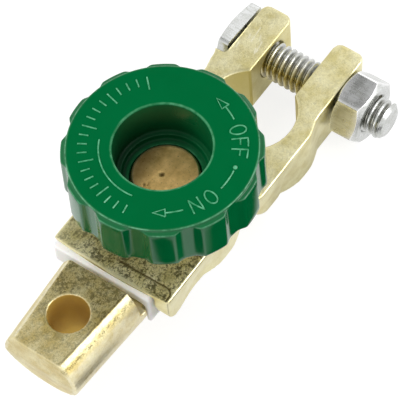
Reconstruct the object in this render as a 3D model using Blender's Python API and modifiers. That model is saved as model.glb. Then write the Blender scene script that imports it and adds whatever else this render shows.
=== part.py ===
"""Battery terminal disconnect switch, modelled in metres, +Z up.

X runs from the cable post (negative) to the clamp ears (positive), and Y along the clamp bolt towards
its head. The knob turns about the Z axis through the origin, and the clamp's underside is at Z = 0.
Lengths below are millimetres and are turned into metres where each shape is made.
"""
import math

import bmesh
import bpy
from mathutils import Matrix, Vector

MM = 0.001
GAP = 0.3                    # clearance between pieces that touch
OVER = 1.0                   # how far a cutter runs past the wall that it cuts
SEGMENTS = 64                # sides of the large round pieces
SMALL_SEGMENTS = 40          # sides of bolt, nut and stud

# Driving heights
CLAMP_HEIGHT = 13.1
POST_AXIS_Z = 13.2           # axis of the round cable post, on its parting line
HOOD_TOP = 17.25
HOOD_BOTTOM = 8.1
HOOD_FRONT_BOTTOM = 9.5
HOOD_CORNER = 3.2            # radius of the hood's lower front corner
PLATE_THICKNESS = 1.75

# Battery clamp
BORE_X = 27.6
BORE_RADIUS = 9.22           # goes round a battery post of about 18 mm
RING_RADIUS = 12.9
SHOULDER = 13.3              # half width of the clamp's top edge beside the bore
EAR_HALF = 12.1
EAR_BOTTOM_HALF = 11.5       # the ears' outer sides draw in towards the bottom
EAR_END = 50.5
EAR_CORNER = 1.6
SLOT_HALF = 5.35
SHOULDER_END = 28.6          # where the top edge starts to draw in to the ears
EAR_START = 33.4
HEAD_STOP_X = 36.15          # the bolt head bears on this step, which keeps it from turning
HEAD_STOP_LOW = 2.4
HEAD_STOP_DRAFT = 0.8

# Hood of the same casting
HOOD_FRONT = -18.9
HOOD_BACK = 11.8
HOOD_HALF = 13.4
WAIST_HALF = 12.0
WAIST_X = -8.5
BARREL_RADIUS = 13.5
CAVITY_HALF = 10.6
RELIEF_BACK = -16.7          # the insulator's front flange sits in this relief
RELIEF_TOP = 16.25
TAB_INNER = -10.0
BOSS_RADIUS = 11.0
BOSS_TOP = 20.2
SLEEVE_HOLE = 6.4
NECK_START = 8.0
NECK_END = 20.5
NECK_FULL_DEPTH_X = 16.5
NECK_HALF = 11.2

# Cable post
POST_FRONT = -41.9
POST_STEP = -22.2
POST_LOWER_END = -20.5
POST_FRONT_RADIUS = 8.3
POST_BACK_RADIUS = 9.4
POST_FLAT = 6.475
POST_END_SLANT = 9.5         # degrees, the lower half of the post's end face
TONGUE_DEPTH = 5.7
POST_HOLE_X = -31.89
POST_HOLE_RADIUS = 4.05
TONGUE_HALF = 8.0

# Insulator
FLANGE_FRONT = -20.2
FLANGE_OUTER = 13.6
FLANGE_LOW = 11.0
INSULATOR_LOW = 7.6

# Stud, sleeve, washer, ring and cap
STUD_RADIUS = 4.8
STUD_END = 2.3
STUD_HEAD_RADIUS = 6.6
STUD_HEAD_TOP = 26.16
DIMPLE_RADIUS = 0.7
DIMPLE_DEPTH = 0.5
SLEEVE_RADIUS = 6.1
SLEEVE_TOP = 19.9
WASHER_RADIUS = 10.4
WASHER_THICKNESS = 2.0
RING_LOW = 3.4
RING_THICK = 1.2
RING_OUTER = 6.9
GROOVE_RADIUS = 3.8
CAP_RADIUS = 9.2
CAP_TOP = 7.3
CAP_WALL = 1.6

# Knob
KNOB_BOTTOM = 24.8
KNOB_TOP = 35.67
KNOB_FACE_RADIUS = 18.25
LOBE_RADIUS = 19.15
LOBES = 12
LOBE_PHASE = 5.0             # degrees, the first lobe's direction from +X
POINTS_PER_LOBE = 12
HUB_RADIUS = 11.0
RECESS_RADIUS = 9.4
RECESS_FLOOR = 26.8
LEDGE_RADIUS = 8.3
LEDGE_FLOOR = 25.6

# Clamp bolt and nut, M8
BOLT_X = 42.9
BOLT_Z = 7.5
BOLT_RADIUS = 4.0
BOLT_HOLE = 4.35
BOLT_HEAD_SIDE = 12.0
BOLT_HEAD_BLUNT = 0.35       # its corners are cut back by this much
BOLT_HEAD_TURN = 5.0         # degrees, until the head's lower corner meets its stop
BOLT_HEAD_INNER = 12.4
BOLT_HEAD_OUTER = 15.2
BOLT_TIP = -22.7
BOLT_TIP_CHAMFER = 0.9
NUT_ACROSS_FLATS = 13.0
NUT_INNER = -12.4
NUT_OUTER = -18.9
NUT_TURN = -6.5              # degrees from one flat level on top
NUT_CHAMFER = 0.9

for old in list(bpy.data.objects):
    bpy.data.objects.remove(old)

switch = bpy.data.collections.new("battery_disconnect_switch")
cutters = bpy.data.collections.new("cutters")
bpy.context.scene.collection.children.link(switch)
bpy.context.scene.collection.children.link(cutters)


def material(name, colour, roughness, metallic=0.0):
    made = bpy.data.materials.new(name)
    made.use_nodes = True
    shader = made.node_tree.nodes["Principled BSDF"]
    shader.inputs["Base Color"].default_value = (*colour, 1.0)
    shader.inputs["Roughness"].default_value = roughness
    shader.inputs["Metallic"].default_value = metallic
    return made


BRASS = material("cast_brass", (0.62, 0.45, 0.16), 0.38, 1.0)
TURNED_BRASS = material("turned_brass", (0.66, 0.46, 0.20), 0.32, 1.0)
NYLON = material("white_nylon", (0.80, 0.80, 0.79), 0.45)
GREEN = material("green_plastic", (0.0, 0.16, 0.045), 0.22)
ZINC = material("zinc_plate", (0.72, 0.74, 0.78), 0.25, 1.0)
SPRING_STEEL = material("spring_steel", (0.25, 0.25, 0.27), 0.35, 1.0)


def place(mesh, name, collection):
    made = bpy.data.objects.new(name, mesh)
    collection.objects.link(made)
    if collection is cutters:
        made.hide_render = True
        made.display_type = "WIRE"
    return made


def mesh_object(work, name, collection=cutters):
    """Turns a bmesh built in millimetres into an object in metres."""
    bmesh.ops.scale(work, vec=(MM, MM, MM), verts=work.verts)
    bmesh.ops.recalc_face_normals(work, faces=work.faces)
    mesh = bpy.data.meshes.new(name)
    work.to_mesh(mesh)
    work.free()
    return place(mesh, name, collection)


def box(name, low, high, collection=cutters):
    work = bmesh.new()
    size = Vector(high) - Vector(low)
    centre = (Vector(high) + Vector(low)) / 2
    matrix = Matrix.Translation(centre) @ Matrix.Diagonal((*size, 1.0))
    bmesh.ops.create_cube(work, size=1.0, matrix=matrix)
    return mesh_object(work, name, collection)


def cone(name, radius_low, radius_high, low, high, matrix=Matrix(), segments=SEGMENTS, collection=cutters):
    """A cone or cylinder from low to high on its own Z axis, then placed by matrix."""
    work = bmesh.new()
    middle = Matrix.Translation((0, 0, (low + high) / 2))
    bmesh.ops.create_cone(work, cap_ends=True, segments=segments, radius1=radius_low, radius2=radius_high,
                          depth=high - low, matrix=matrix @ middle)
    return mesh_object(work, name, collection)


def cylinder(name, radius, low, high, x=0.0, segments=SEGMENTS, collection=cutters):
    return cone(name, radius, radius, low, high, Matrix.Translation((x, 0, 0)), segments, collection)


def turned(name, profile, collection=cutters, segments=SMALL_SEGMENTS):
    """A closed profile of (radius, height) points, top to bottom on its outer side, turned about Z."""
    mesh = bpy.data.meshes.new(name)
    points = [(radius * MM, 0.0, height * MM) for radius, height in profile]
    count = len(points)
    closed = profile[0][0] > 0 or profile[-1][0] > 0
    edges = [(i, (i + 1) % count) for i in range(count if closed else count - 1)]
    mesh.from_pydata(points, edges, [])
    made = place(mesh, name, collection)
    screw = made.modifiers.new("turn", "SCREW")
    screw.axis = "Z"
    screw.steps = segments
    screw.render_steps = segments
    screw.use_merge_vertices = True
    screw.merge_threshold = 0.00001
    screw.use_smooth_shade = False
    return made


def stack(name, rings, collection=cutters):
    """A closed loft through rings of equal point counts, capped at both ends."""
    work = bmesh.new()
    loops = [[work.verts.new(point) for point in ring] for ring in rings]
    count = len(loops[0])
    for lower, upper in zip(loops, loops[1:]):
        for i in range(count):
            j = (i + 1) % count
            work.faces.new((lower[i], lower[j], upper[j], upper[i]))
    work.faces.new(list(reversed(loops[0])))
    work.faces.new(loops[-1])
    return mesh_object(work, name, collection)


def slab(name, outline, low, high, collection=cutters):
    """A flat outline of (x, y) points with a straight height."""
    return stack(name, [[(x, y, low) for x, y in outline], [(x, y, high) for x, y in outline]], collection)


def tongue_outline(start, half):
    """Straight sides from X = start, and a half round end about the knob's axis."""
    steps = SEGMENTS // 2
    turn = [math.pi * (k / steps - 0.5) for k in range(steps + 1)]
    return [(start, -half)] + [(half * math.cos(a), half * math.sin(a)) for a in turn] + [(start, half)]


def boolean(target, other, operation="DIFFERENCE"):
    step = target.modifiers.new(other.name, "BOOLEAN")
    step.object = other
    step.operation = operation
    step.solver = "EXACT"


def smooth(made, degrees=35.0):
    made.data.shade_smooth()
    made.data.set_sharp_from_angle(angle=math.radians(degrees))


def finish(made, surface):
    """Gives a piece its material and rounds its shading."""
    made.data.materials.clear()
    made.data.materials.append(surface)
    smooth(made)
    return made


def ease(t):
    t = min(max(t, 0.0), 1.0)
    return t * t * (3.0 - 2.0 * t)


def sided_loft(name, stations, low_at, high_at, half_at, levels=6, collection=cutters):
    """A body that is symmetric in Y: at each X its half width is half_at(x, t), t being 0 at the bottom
    and 1 at the top."""
    rings = []
    for x in stations:
        low, high = low_at(x), high_at(x)
        rise = [k / levels for k in range(levels + 1)]
        right = [(x, -half_at(x, t), low + (high - low) * t) for t in rise]
        left = [(x, half_at(x, t), low + (high - low) * t) for t in reversed(rise)]
        rings.append(right + left)
    return stack(name, rings, collection)


def clamp_top_half(x):
    """Half width of the clamp's top face: straight shoulder, S curve, ear, rounded ear corner."""
    half = SHOULDER + (EAR_HALF - SHOULDER) * ease((x - SHOULDER_END) / (EAR_START - SHOULDER_END))
    into_corner = x - (EAR_END - EAR_CORNER)
    if into_corner > 0:
        half -= EAR_CORNER - math.sqrt(max(EAR_CORNER ** 2 - into_corner ** 2, 0.0))
    return half


def clamp_bottom_half(x):
    """Half width of the underside: the round ring, then the ears."""
    ring = math.sqrt(max(RING_RADIUS ** 2 - (x - BORE_X) ** 2, 0.0))
    if x < BORE_X:
        return ring
    return max(ring, clamp_top_half(x) + EAR_BOTTOM_HALF - EAR_HALF) if x > EAR_START else ring


def clamp_half(x, t):
    low, high = clamp_bottom_half(x), clamp_top_half(x)
    return low + (high - low) * ease(t)


def hood_bottom_half(x):
    """The hood's wall draws in to a waist and swells round the switch's barrel."""
    flare = WAIST_HALF + (HOOD_HALF - WAIST_HALF) * ease((WAIST_X - x) / (WAIST_X - HOOD_FRONT))
    barrel = math.sqrt(max(BARREL_RADIUS ** 2 - x ** 2, 0.0))
    return max(flare, barrel)


def hood_half(x, t):
    low = hood_bottom_half(x)
    return low + (HOOD_HALF - low) * ease(t)


def hood_low(x):
    """The hood's underside rises a little towards the front and ends in a rounded corner."""
    low = HOOD_BOTTOM + (HOOD_FRONT_BOTTOM - HOOD_BOTTOM) * ease((WAIST_X - x) / (WAIST_X - HOOD_FRONT))
    into_corner = HOOD_FRONT + HOOD_CORNER - x
    if into_corner > 0:
        low += HOOD_CORNER - math.sqrt(max(HOOD_CORNER ** 2 - into_corner ** 2, 0.0))
    return low


def neck_low(x):
    return HOOD_BOTTOM * (1.0 - ease((x - NECK_START) / (NECK_FULL_DEPTH_X - NECK_START)))


def neck_half(x, t):
    return NECK_HALF + (HOOD_HALF - NECK_HALF) * t


def spread(start, end, count):
    return [start + (end - start) * i / count for i in range(count + 1)]


def into_corner_steps(radius):
    """Distances along a rounded corner of this radius, from its start to its end."""
    return [radius * math.sin(math.radians(a)) for a in (0, 30, 50, 68, 80, 90)]


def slot_outline():
    """The gap between the ears, which opens into a rounded corner at each ear's end."""
    corner_start = EAR_END - EAR_CORNER
    side = [(BORE_X, SLOT_HALF)]
    for step in into_corner_steps(EAR_CORNER):
        flare = EAR_CORNER - math.sqrt(max(EAR_CORNER ** 2 - step ** 2, 0.0))
        side.append((corner_start + step, SLOT_HALF + flare))
    side.append((EAR_END + OVER, SLOT_HALF + EAR_CORNER))
    return [(x, -y) for x, y in side] + [(x, y) for x, y in reversed(side)]


def head_stop():
    """The shoulder beside the bolt head, which swells out and ends in a step."""
    outline = [(27.0, 11.0), (27.0, 13.2), (28.6, 13.3), (31.2, 13.42), (33.0, 13.8), (34.5, 13.98),
               (35.3, 14.15), (HEAD_STOP_X, 14.6), (HEAD_STOP_X, 11.0)]
    low = [(x, y - HEAD_STOP_DRAFT, HEAD_STOP_LOW) for x, y in outline]
    high = [(x, y, CLAMP_HEIGHT - 0.02) for x, y in outline]
    return stack("head_stop", [low, high])


def clamp_casting():
    """Hood, neck, split ring and ears: one brass casting."""
    corner_start = EAR_END - EAR_CORNER
    stations = spread(15.6, corner_start, 24)[:-1] + [corner_start + s for s in into_corner_steps(EAR_CORNER)]
    casting = sided_loft("clamp_casting", stations, lambda x: 0.0, lambda x: CLAMP_HEIGHT, clamp_half,
                         collection=switch)
    neck = sided_loft("neck", spread(NECK_START, NECK_END, 8), neck_low, lambda x: CLAMP_HEIGHT - 0.05,
                      neck_half, levels=2)
    corner_end = HOOD_FRONT + HOOD_CORNER
    front = [corner_end - s for s in reversed(into_corner_steps(HOOD_CORNER))]
    hood = sided_loft("hood", front[:-1] + spread(corner_end, HOOD_BACK, 18), hood_low, lambda x: HOOD_TOP,
                      hood_half, levels=4)
    boss = cylinder("boss", BOSS_RADIUS, HOOD_TOP - 1.0, BOSS_TOP)
    boolean(casting, head_stop(), "UNION")
    boolean(casting, neck, "UNION")
    boolean(casting, hood, "UNION")
    boolean(casting, boss, "UNION")
    ceiling = HOOD_TOP - PLATE_THICKNESS
    boolean(casting, box("cavity", (RELIEF_BACK - 0.01, -CAVITY_HALF, -OVER), (0, CAVITY_HALF, ceiling)))
    boolean(casting, cylinder("round_cavity", CAVITY_HALF, -OVER, ceiling))
    boolean(casting, box("flange_relief", (HOOD_FRONT - OVER, TAB_INNER, -OVER),
                         (RELIEF_BACK, HOOD_HALF + OVER, RELIEF_TOP)))
    boolean(casting, cylinder("sleeve_hole", SLEEVE_HOLE, HOOD_TOP - 5.0, BOSS_TOP + OVER))
    boolean(casting, cylinder("post_bore", BORE_RADIUS, -OVER, CLAMP_HEIGHT + OVER, BORE_X))
    boolean(casting, slab("ear_slot", slot_outline(), -OVER, CLAMP_HEIGHT + OVER))
    across = Matrix.Translation((BOLT_X, 0, BOLT_Z)) @ Matrix.Rotation(math.radians(90), 4, "X")
    boolean(casting, cone("bolt_hole", BOLT_HOLE, BOLT_HOLE, -SHOULDER - OVER, SHOULDER + OVER, across,
                          SMALL_SEGMENTS))
    return finish(casting, BRASS)


def post_casting():
    """Tapered cable post with a flat top, and the tongue that carries the stud's thread."""
    along = Matrix.Translation((0, 0, POST_AXIS_Z)) @ Matrix.Rotation(math.radians(90), 4, "Y")
    casting = cone("post_casting", POST_FRONT_RADIUS, POST_BACK_RADIUS, POST_FRONT, POST_LOWER_END, along,
                   SEGMENTS, switch)
    flat = POST_AXIS_Z + POST_FLAT
    tongue = slab("tongue", tongue_outline(POST_LOWER_END - OVER, TONGUE_HALF), POST_AXIS_Z - TONGUE_DEPTH,
                  POST_AXIS_Z + OVER)
    boolean(casting, tongue, "UNION")
    boolean(casting, box("over_tongue", (POST_STEP, -12, POST_AXIS_Z), (TONGUE_HALF + OVER, 12, 30)))
    boolean(casting, box("over_flat", (POST_FRONT - OVER, -12, flat), (POST_STEP + OVER, 12, 30)))
    slant = box("end_slant", (-5, -12, -20), (0, 12, 0))
    slant.location = ((POST_FRONT - 0.02) * MM, 0, (POST_AXIS_Z + 0.1) * MM)
    slant.rotation_euler = (0, -math.radians(POST_END_SLANT), 0)
    boolean(casting, slant)
    boolean(casting, cylinder("cable_hole", POST_HOLE_RADIUS, 0, 30, POST_HOLE_X, SMALL_SEGMENTS))
    boolean(casting, cylinder("thread_hole", STUD_RADIUS + GAP, 0, 30, 0, SMALL_SEGMENTS))
    return finish(casting, BRASS)


def insulator_block():
    """White nylon cover over the tongue, with the flange that closes the hood's front."""
    top = HOOD_TOP - PLATE_THICKNESS - GAP
    half = CAVITY_HALF - GAP
    inner_end = -TAB_INNER - GAP
    block = slab("insulator_block", tongue_outline(RELIEF_BACK + GAP, half), INSULATOR_LOW, top, switch)
    boolean(block, box("flange", (FLANGE_FRONT, -inner_end, FLANGE_LOW),
                       (RELIEF_BACK - GAP, FLANGE_OUTER, RELIEF_TOP - GAP)), "UNION")
    boolean(block, box("flange_root", (FLANGE_FRONT + 0.1, -inner_end + 0.1, INSULATOR_LOW + 0.1),
                       (RELIEF_BACK + 1.0, inner_end, top - 0.1)), "UNION")
    channel = TONGUE_HALF + GAP
    boolean(block, slab("channel", tongue_outline(FLANGE_FRONT - OVER, channel), 0, POST_AXIS_Z + GAP))
    boolean(block, cylinder("block_hole", SLEEVE_RADIUS + GAP, 0, 30, 0, SMALL_SEGMENTS))
    return finish(block, NYLON)


def insulating_sleeve():
    """Nylon tube that keeps the stud clear of the hood."""
    inner = STUD_RADIUS + GAP
    low = POST_AXIS_Z + GAP
    profile = [(inner, SLEEVE_TOP), (SLEEVE_RADIUS, SLEEVE_TOP), (SLEEVE_RADIUS, low), (inner, low)]
    return finish(turned("insulating_sleeve", profile, switch), NYLON)


def stud():
    """Threaded brass stud with the round head that shows inside the knob."""
    head_low = BOSS_TOP + WASHER_THICKNESS + 2 * GAP
    groove_low, groove_high = RING_LOW - GAP, RING_LOW + RING_THICK + GAP
    profile = [
        (0, STUD_HEAD_TOP - DIMPLE_DEPTH), (DIMPLE_RADIUS, STUD_HEAD_TOP),
        (STUD_HEAD_RADIUS - 0.4, STUD_HEAD_TOP), (STUD_HEAD_RADIUS, STUD_HEAD_TOP - 0.4),
        (STUD_HEAD_RADIUS, head_low), (STUD_RADIUS, head_low),
        (STUD_RADIUS, groove_high), (GROOVE_RADIUS, groove_high),
        (GROOVE_RADIUS, groove_low), (STUD_RADIUS, groove_low),
        (STUD_RADIUS, STUD_END + 0.5), (STUD_RADIUS - 0.5, STUD_END), (0, STUD_END),
    ]
    return finish(turned("stud", profile, switch), TURNED_BRASS)


def contact_washer():
    """Brass contact that the stud presses on the hood's boss."""
    low = BOSS_TOP + GAP
    high = low + WASHER_THICKNESS
    inner = STUD_RADIUS + GAP
    profile = [(inner, high), (WASHER_RADIUS - 0.4, high), (WASHER_RADIUS, high - 0.4),
               (WASHER_RADIUS, low + 0.4), (WASHER_RADIUS - 0.4, low), (inner, low)]
    return finish(turned("contact_washer", profile, switch), TURNED_BRASS)


def retaining_ring():
    """Snap ring in the stud's groove, which stops the stud at the end of its travel."""
    inner, high = GROOVE_RADIUS + GAP, RING_LOW + RING_THICK
    profile = [(inner, high), (RING_OUTER, high), (RING_OUTER, RING_LOW), (inner, RING_LOW)]
    return finish(turned("retaining_ring", profile, switch), SPRING_STEEL)


def bottom_cap():
    """Nylon cup that covers the live end of the stud."""
    inner = CAP_RADIUS - CAP_WALL
    profile = [(0, CAP_WALL), (inner, CAP_WALL), (inner, CAP_TOP), (CAP_RADIUS, CAP_TOP),
               (CAP_RADIUS, 0.6), (CAP_RADIUS - 0.6, 0), (0, 0)]
    return finish(turned("bottom_cap", profile, switch, SEGMENTS), NYLON)


def lobe_ring(z, valley, lobe):
    """One lobed outline of the knob: flat-topped lobes with narrow round valleys."""
    count = LOBES * POINTS_PER_LOBE
    ring = []
    for i in range(count):
        angle = math.radians(LOBE_PHASE) + 2 * math.pi * i / count
        wave = 0.5 + 0.5 * math.cos(LOBES * (angle - math.radians(LOBE_PHASE)))
        radius = valley + (lobe - valley) * ease(min(wave * 1.6, 1.0))
        ring.append((radius * math.cos(angle), radius * math.sin(angle), z))
    return ring


def knob_shell():
    """Green knob with twelve lobes, a deep centre recess and a hub over the stud's head."""
    face, lobe = KNOB_FACE_RADIUS, LOBE_RADIUS
    rings = [
        lobe_ring(KNOB_BOTTOM, face - 0.4, lobe - 0.4),
        lobe_ring(KNOB_BOTTOM + 0.4, face, lobe),
        lobe_ring(KNOB_TOP - 1.0, face, lobe),
        lobe_ring(KNOB_TOP - 0.7, face, lobe - 0.15),
        lobe_ring(KNOB_TOP - 0.5, face, face + 0.15),
        lobe_ring(KNOB_TOP - 0.25, face, face),
        lobe_ring(KNOB_TOP, face - 0.25, face - 0.25),
    ]
    knob = stack("knob_shell", rings, switch)
    hub_low = BOSS_TOP + WASHER_THICKNESS + 2 * GAP
    boolean(knob, cylinder("hub", HUB_RADIUS, hub_low, KNOB_BOTTOM + 1.0), "UNION")
    boolean(knob, cylinder("recess", RECESS_RADIUS, RECESS_FLOOR, KNOB_TOP + OVER))
    boolean(knob, cylinder("ledge", LEDGE_RADIUS, LEDGE_FLOOR, KNOB_TOP + OVER))
    boolean(knob, cylinder("head_bore", STUD_HEAD_RADIUS + GAP, hub_low - OVER, KNOB_TOP + OVER, 0,
                           SMALL_SEGMENTS))
    return finish(knob, GREEN)


def on_bolt_axis(made):
    """Lays a piece made about its own Z axis along the clamp bolt, its Z towards the bolt head."""
    made.location = (BOLT_X * MM, 0, BOLT_Z * MM)
    made.rotation_euler = (math.radians(-90), 0, 0)


def clamp_bolt():
    """Square-headed M8 clamp bolt."""
    side = BOLT_HEAD_SIDE / 2
    short = side - BOLT_HEAD_BLUNT
    outline = [(side, short), (short, side), (-short, side), (-side, short),
               (-side, -short), (-short, -side), (short, -side), (side, -short)]
    bolt = slab("clamp_bolt", outline, BOLT_HEAD_INNER, BOLT_HEAD_OUTER, switch)
    bolt.data.transform(Matrix.Rotation(math.radians(BOLT_HEAD_TURN), 4, "Z"))
    dome = turned("head_chamfer", [(0, BOLT_HEAD_OUTER + 0.1), (side * 0.95, BOLT_HEAD_OUTER),
                                   (side * 1.46, BOLT_HEAD_OUTER - 0.7), (side * 1.46, BOLT_HEAD_INNER - OVER),
                                   (0, BOLT_HEAD_INNER - OVER)])
    shank = turned("shank", [(0, BOLT_HEAD_INNER + 1.0), (BOLT_RADIUS, BOLT_HEAD_INNER + 1.0),
                             (BOLT_RADIUS, BOLT_TIP + BOLT_TIP_CHAMFER),
                             (BOLT_RADIUS - BOLT_TIP_CHAMFER, BOLT_TIP), (0, BOLT_TIP)])
    on_bolt_axis(bolt)
    on_bolt_axis(dome)
    on_bolt_axis(shank)
    boolean(bolt, dome, "INTERSECT")
    boolean(bolt, shank, "UNION")
    return finish(bolt, ZINC)


def clamp_nut():
    """M8 hexagon nut, 13 mm across its flats."""
    corner = NUT_ACROSS_FLATS / 2 / math.cos(math.radians(30))
    upright = Matrix.Rotation(math.radians(90 + NUT_TURN), 4, "Z")
    nut = cone("clamp_nut", corner, corner, NUT_OUTER, NUT_INNER, upright, 6, switch)
    reach = corner * 1.03
    bevel = turned("nut_chamfer", [
        (0, NUT_INNER + 0.05), (reach - 2 * NUT_CHAMFER, NUT_INNER + 0.05), (reach, NUT_INNER - NUT_CHAMFER),
        (reach, NUT_OUTER + NUT_CHAMFER), (reach - 2 * NUT_CHAMFER, NUT_OUTER - 0.05), (0, NUT_OUTER - 0.05)])
    hole = cylinder("nut_hole", BOLT_RADIUS + GAP, NUT_OUTER - OVER, NUT_INNER + OVER, 0, SMALL_SEGMENTS)
    on_bolt_axis(nut)
    on_bolt_axis(bevel)
    on_bolt_axis(hole)
    boolean(nut, bevel, "INTERSECT")
    boolean(nut, hole)
    return finish(nut, ZINC)


clamp_casting()
post_casting()
insulator_block()
insulating_sleeve()
bottom_cap()
stud()
contact_washer()
retaining_ring()
knob_shell()
clamp_bolt()
clamp_nut()
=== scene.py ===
"""The look of the battery terminal disconnect switch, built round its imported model.

Lengths below are millimetres in the model's own frame, and are turned into metres where each shape is made.
"""
import math
import random

import bmesh
import bpy
import numpy as np
from mathutils import Matrix, Vector


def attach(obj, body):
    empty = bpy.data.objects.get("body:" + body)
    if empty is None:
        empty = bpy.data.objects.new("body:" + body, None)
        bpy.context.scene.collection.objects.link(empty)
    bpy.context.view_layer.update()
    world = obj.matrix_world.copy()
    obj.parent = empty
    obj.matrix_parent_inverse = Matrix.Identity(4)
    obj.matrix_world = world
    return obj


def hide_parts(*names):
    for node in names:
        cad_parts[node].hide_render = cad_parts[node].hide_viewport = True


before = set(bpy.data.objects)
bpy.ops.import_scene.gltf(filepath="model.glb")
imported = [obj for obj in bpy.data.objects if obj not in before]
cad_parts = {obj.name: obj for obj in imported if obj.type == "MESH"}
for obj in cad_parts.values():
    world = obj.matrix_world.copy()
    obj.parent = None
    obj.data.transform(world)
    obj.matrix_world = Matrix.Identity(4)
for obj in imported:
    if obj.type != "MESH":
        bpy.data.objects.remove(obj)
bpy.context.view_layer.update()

MM = 0.001

# Knob
KNOB_BOTTOM = 24.8
KNOB_TOP = 35.67
FACE_RADIUS = 18.25
LOBE_RADIUS = 19.15
LOBE_DROP = 1.05
LOBES = 12
LOBE_PHASE = math.radians(5.0)
HUB_RADIUS = 11.0
HUB_BOTTOM = 22.8
RECESS_RADIUS = 9.4
RECESS_FLOOR = 26.8
LEDGE_RADIUS = 8.3
LEDGE_FLOOR = 25.6
HEAD_BORE = 6.9
GLINT_TURN = 8.0
GLINT_LOW = 30.5

# Raised marks on the knob's face, their angles in degrees
MARK_CIRCLE = 14.5
MARK_THICKNESS = 0.29
DOT_ANGLE = -75.5
DOT_RADIUS = 0.42
SCALE_START = 46.0
SCALE_END = 196.0
SCALE_STEP = 7.5
TICKS_PER_LONG_ONE = 4
ARC_RADIUS = 11.9
ARC_START = 116.0
ARC_END = 188.0

# Radius of the small ring that stands for a point on an axis
POINT_RADIUS = 0.02

# Stud
STUD_HEAD_RADIUS = 6.6
STUD_HEAD_TOP = 26.16
STUD_HEAD_BOTTOM = 22.8
STUD_RADIUS = 4.8
THREAD_START = 21.6
STUD_END = 2.3
STUD_PITCH = 1.75
GROOVE_RADIUS = 3.8
GROOVE_LOW = 3.1
GROOVE_HIGH = 4.9
DIMPLE = (-0.46, 0.53)

# Contact washer and bottom cap
WASHER_BORE = 5.1
WASHER_RADIUS = 10.4
WASHER_BOTTOM = 20.5
WASHER_TOP = 22.5
CAP_RADIUS = 9.2
CAP_INNER = 7.6
CAP_TOP = 7.3
CAP_FLOOR = 1.6
CAP_DIMPLE = 3.2
CAP_DIMPLE_DEPTH = 0.25

# Clamp bolt and nut
BOLT_X = 42.9
BOLT_Z = 7.5
BOLT_RADIUS = 4.0
BOLT_PITCH = 1.41
BOLT_TIP = -22.7
HEAD_INNER = 12.4
HEAD_OUTER = 15.2
HEAD_SIDE = 12.0
HEAD_TURN = 5.0
NUT_FLATS = 13.0
NUT_TURN = -6.5
NUT_INNER = -12.4
NUT_OUTER = -18.9
NUT_CORNER = 0.5
NUT_ROUND = 5.95
NUT_SLOPE = 0.66
HEAD_CORNER = 0.6
HEAD_ROUND = 5.7
HEAD_SLOPE = 0.23
PRISM_EDGE = 0.2

# A chamfer that starts here, past every corner, takes nothing off
NO_CHAMFER = 20.0

# Where the rings of a nut or a bolt head lie along its chamfers and along its sides
CHAMFER_SHARES = (0.0, 0.02, 0.34, 0.67, 1.0)
SIDE_SHARES = (0.03, 0.25, 0.5, 0.75, 0.97)

# Battery clamp and hood
HOOD_FRONT = -18.9
HOOD_TOP = 17.25
HOOD_BACK = 11.8
HOOD_HALF = 13.4
LIP_LINE_X = -16.1
LIP_LINE_HALF = 12.7
LIP_CORNER = 1.6
LINE_START = 1.5
FLANGE_FRONT = -20.2
FLANGE_OUTER = 13.6
FLANGE_CORNER = 1.8
SCRATCHES = (((44.9, 9.5), (41.1, 9.2)), ((43.3, 8.4), (42.1, 7.8)), ((42.1, 7.3), (39.5, 6.9)),
             ((40.2, 11.3), (38.4, 11.0)), ((40.3, 7.5), (39.0, 7.0)), ((42.6, 10.4), (41.5, 10.1)))
FRONT_BOW = 0.7
LINE_DEPTH = 0.16
STRIP_DEPTH = 0.10
EAR_INNER = 4.8
EAR_HOLE_RIM = 4.9
BORE_X = 27.6
BORE_RADIUS = 9.22
POST_AXIS_Z = 13.2
POST_FLAT_Z = 19.675
POST_HOLE_X = -31.89
POST_HOLE_RADIUS = 4.05
POST_HOLE_NARROWING = 0.45
POST_FRONT = -41.9
POST_BACK = -20.5
POST_FRONT_RADIUS = 8.3
POST_BACK_RADIUS = 9.4

# The post's outside lies further from its axis than this
POST_SKIN = 7.5

# Camera of the photograph
CAMERA_PLACE = (-195.354, -172.835, 439.868)
CAMERA_RIGHT = (0.574788, -0.816524, -0.053918)
CAMERA_UP = (0.713956, 0.468207, 0.520624)
CAMERA_BACK = (-0.399857, -0.337744, 0.852082)
LENS = 233.05

# Studio
DARK_PATCH = (0.40, 0.338, 0.852)
SKY_TOP = 0.62
SKY_DIFFUSE = 0.65
FLOOR_GLOW = 0.80
FLOOR_MIRRORED = 0.70
FLOOR_MATT = 0.28
FLOOR_REACH = 3000.0
FLOOR_DROP = 0.1

# The floor's dark cards: the axis, then the places along it where a card begins and where it is full
CARDS = ((("X", -18.0, -10.0), ("X", 36.0, 28.0), ("Y", -70.0, -60.0), ("Y", -24.0, -28.0)),
         (("X", -42.0, -38.0), ("X", -22.0, -27.0), ("Y", -29.0, -25.0), ("Y", -14.5, -17.5)))

# Colours
WHITE = (1.0, 1.0, 1.0, 1.0)
BLACK = (0.0, 0.0, 0.0, 1.0)
CLAMP_PALE = (0.92, 0.87, 0.56, 1.0)
CLAMP_MID = (0.74, 0.66, 0.31, 1.0)
CLAMP_DARK = (0.30, 0.25, 0.07, 1.0)
CLAMP_HOLLOW_SHADE = (0.58, 0.50, 0.18, 1.0)
POST_PALE = (0.86, 0.78, 0.47, 1.0)
POST_MID = (0.67, 0.53, 0.20, 1.0)
POST_DARK = (0.22, 0.17, 0.035, 1.0)
POST_HOLE_SHADE = (0.62, 0.42, 0.075, 1.0)
CAST_PIT = (0.055, 0.048, 0.010, 1.0)
CAST_SHADE = (0.10, 0.075, 0.02, 1.0)
CAST_WEAR_AND_LIGHT = (0.98, 0.94, 0.76, 1.0)
TURNED_MID = (0.66, 0.43, 0.14, 1.0)
TURNED_PALE = (1.0, 0.71, 0.29, 1.0)
TURNED_TARNISH = (0.20, 0.11, 0.03, 1.0)
TURNED_SHADE = (0.05, 0.025, 0.006, 1.0)
TURNED_WORN = (0.80, 0.66, 0.38, 1.0)
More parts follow.
